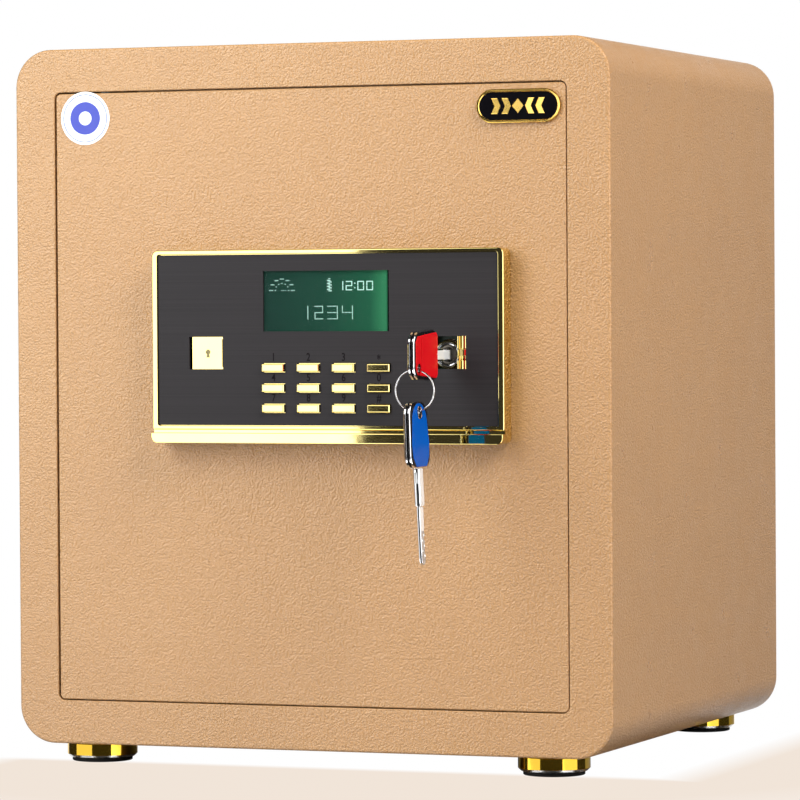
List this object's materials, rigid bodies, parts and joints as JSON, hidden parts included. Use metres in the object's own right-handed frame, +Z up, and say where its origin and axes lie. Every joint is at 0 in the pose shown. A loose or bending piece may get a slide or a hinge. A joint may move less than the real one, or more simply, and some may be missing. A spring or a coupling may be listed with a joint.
{
  "type": "in-room safe",
  "caption": "Small steel room safe with rounded edges, a flush hinged door, a keypad panel with display, driven bolts and a key in its override lock.",
  "frame": {"origin": "on the floor, under the middle of the whole object with the key in its lock", "axes": "+Z up, the door faces -Y, +X to the right of someone facing the door"},
  "size_m": [0.4, 0.439, 0.455],
  "materials": {
    "powder_coat": "fine leather-grain powder coat, satin champagne",
    "inner_coat": "plain satin powder coat",
    "gold_plate": "polished gold-coloured plating",
    "brushed_black": "black, brushed sideways",
    "rubber": "matte",
    "zinc_steel": "zinc plated",
    "chrome": "polished",
    "felt": "felt",
    "black_plastic": "fine texture",
    "red_plastic": "gloss red insert",
    "blue_plastic": "gloss blue insert",
    "window": "clear window over the display",
    "display_green": "dark green display",
    "board_green": "circuit board",
    "cell_sleeve": "printed sleeve"
  },
  "bodies": {
    "cabinet": {"outer_shell": "powder_coat", "back_panel": "powder_coat", "door_jamb": "inner_coat", "hinge_pin_top": "zinc_steel", "hinge_pin_bottom": "zinc_steel", "shelf": "inner_coat", "floor_mat": "felt", "foot_fl": "gold_plate", "foot_fr": "gold_plate", "foot_bl": "gold_plate", "foot_br": "gold_plate", "foot_pad_fl": "rubber", "foot_pad_fr": "rubber", "foot_pad_bl": "rubber", "foot_pad_br": "rubber"},
    "door": {"door_plate": "powder_coat", "dead_bar": "zinc_steel", "door_tray": "inner_coat", "door_back_cover": "inner_coat", "battery_holder": "black_plastic", "battery_cell_1": "cell_sleeve", "battery_cell_2": "cell_sleeve", "battery_cell_3": "cell_sleeve", "battery_cell_4": "cell_sleeve", "panel_bezel": "gold_plate", "face_plate": "brushed_black", "display_window": "window", "display_module": "display_green", "circuit_board": "board_green", "main_lock_body": "chrome", "second_lock": "chrome", "badge": "gold_plate", "motor_gearbox": "black_plastic"},
    "bolts": {"bolt_bar": "zinc_steel", "bolt_bottom": "zinc_steel", "bolt_middle": "zinc_steel", "bolt_top": "zinc_steel"},
    "drive_gear": {"drive_gear": "zinc_steel"},
    "lock_plug": {"lock_plug": "chrome"},
    "inserted_key": {"inserted_key_blade": "chrome", "inserted_key_bow": "red_plastic"},
    "key_ring": {"key_ring": "zinc_steel"},
    "spare_key": {"spare_key_blade": "chrome", "spare_key_bow": "blue_plastic"},
    "left_cover": {"keyhole_cover_left": "gold_plate"},
    "right_cover": {"keyhole_cover_right": "gold_plate"},
    "battery_cover": {"battery_cover": "black_plastic"},
    "reset_button": {"reset_button": "red_plastic"},
    "key_1": {"keypad_key_1": "gold_plate"},
    "key_2": {"keypad_key_2": "gold_plate"},
    "key_3": {"keypad_key_3": "gold_plate"},
    "key_star": {"keypad_key_star": "gold_plate"},
    "key_4": {"keypad_key_4": "gold_plate"},
    "key_5": {"keypad_key_5": "gold_plate"},
    "key_6": {"keypad_key_6": "gold_plate"},
    "key_0": {"keypad_key_0": "gold_plate"},
    "key_7": {"keypad_key_7": "gold_plate"},
    "key_8": {"keypad_key_8": "gold_plate"},
    "key_9": {"keypad_key_9": "gold_plate"},
    "key_hash": {"keypad_key_hash": "gold_plate"}
  },
  "joints": [
    {"name": "door_hinge", "type": "hinge", "parent": "cabinet", "child": "door", "pos_m": [-0.1415, -0.1265, 0.2335], "axis": [0, 0, -1], "range_deg": [0, 105]},
    {"name": "bolt_slide", "type": "slide", "parent": "door", "child": "bolts", "axis": [1, 0, 0], "range_m": [0, 0.024]},
    {"name": "drive_gear_turn", "type": "hinge", "parent": "door", "child": "drive_gear", "pos_m": [0.08, -0.11, 0.1825], "axis": [0, 1, 0], "range_deg": [0, 138]},
    {"name": "lock_plug_turn", "type": "hinge", "parent": "door", "child": "lock_plug", "pos_m": [0.097, -0.1445, 0.2602], "axis": [0, 1, 0], "range_deg": [0, 90]},
    {"name": "inserted_key_slide", "type": "slide", "parent": "lock_plug", "child": "inserted_key", "axis": [0, -1, 0], "range_m": [0, 0.045]},
    {"name": "key_ring_swing", "type": "hinge", "parent": "inserted_key", "child": "key_ring", "pos_m": [0.097, -0.2035, 0.25111], "axis": [-1, 0, 0], "range_deg": [-15, 45]},
    {"name": "spare_key_swing", "type": "hinge", "parent": "key_ring", "child": "spare_key", "pos_m": [0.097, -0.2035, 0.23911], "axis": [0, 1, 0], "range_deg": [-40, 40]},
    {"name": "left_cover_slide", "type": "slide", "parent": "door", "child": "left_cover", "axis": [-1, 0, 0], "range_m": [0, 0.0168]},
    {"name": "right_cover_slide", "type": "slide", "parent": "door", "child": "right_cover", "axis": [1, 0, 0], "range_m": [-0.0044, 0]},
    {"name": "battery_cover_slide", "type": "slide", "parent": "door", "child": "battery_cover", "axis": [0, 0, -1], "range_m": [0, 0.03]},
    {"name": "reset_button_press", "type": "slide", "parent": "door", "child": "reset_button", "axis": [0, -1, 0], "range_m": [0, 0.002], "stiffness_N_per_m": 500},
    {"name": "press_1", "type": "slide", "parent": "door", "child": "key_1", "axis": [0, 1, 0], "range_m": [0, 0.0015], "stiffness_N_per_m": 700},
    {"name": "press_2", "type": "slide", "parent": "door", "child": "key_2", "axis": [0, 1, 0], "range_m": [0, 0.0015], "stiffness_N_per_m": 700},
    {"name": "press_3", "type": "slide", "parent": "door", "child": "key_3", "axis": [0, 1, 0], "range_m": [0, 0.0015], "stiffness_N_per_m": 700},
    {"name": "press_star", "type": "slide", "parent": "door", "child": "key_star", "axis": [0, 1, 0], "range_m": [0, 0.0015], "stiffness_N_per_m": 700},
    {"name": "press_4", "type": "slide", "parent": "door", "child": "key_4", "axis": [0, 1, 0], "range_m": [0, 0.0015], "stiffness_N_per_m": 700},
    {"name": "press_5", "type": "slide", "parent": "door", "child": "key_5", "axis": [0, 1, 0], "range_m": [0, 0.0015], "stiffness_N_per_m": 700},
    {"name": "press_6", "type": "slide", "parent": "door", "child": "key_6", "axis": [0, 1, 0], "range_m": [0, 0.0015], "stiffness_N_per_m": 700},
    {"name": "press_0", "type": "slide", "parent": "door", "child": "key_0", "axis": [0, 1, 0], "range_m": [0, 0.0015], "stiffness_N_per_m": 700},
    {"name": "press_7", "type": "slide", "parent": "door", "child": "key_7", "axis": [0, 1, 0], "range_m": [0, 0.0015], "stiffness_N_per_m": 700},
    {"name": "press_8", "type": "slide", "parent": "door", "child": "key_8", "axis": [0, 1, 0], "range_m": [0, 0.0015], "stiffness_N_per_m": 700},
    {"name": "press_9", "type": "slide", "parent": "door", "child": "key_9", "axis": [0, 1, 0], "range_m": [0, 0.0015], "stiffness_N_per_m": 700},
    {"name": "press_hash", "type": "slide", "parent": "door", "child": "key_hash", "axis": [0, 1, 0], "range_m": [0, 0.0015], "stiffness_N_per_m": 700}
  ],
  "couplings": [
    {"joint": "drive_gear_turn", "follows": "bolt_slide", "rad_per_m": 100}
  ]
}
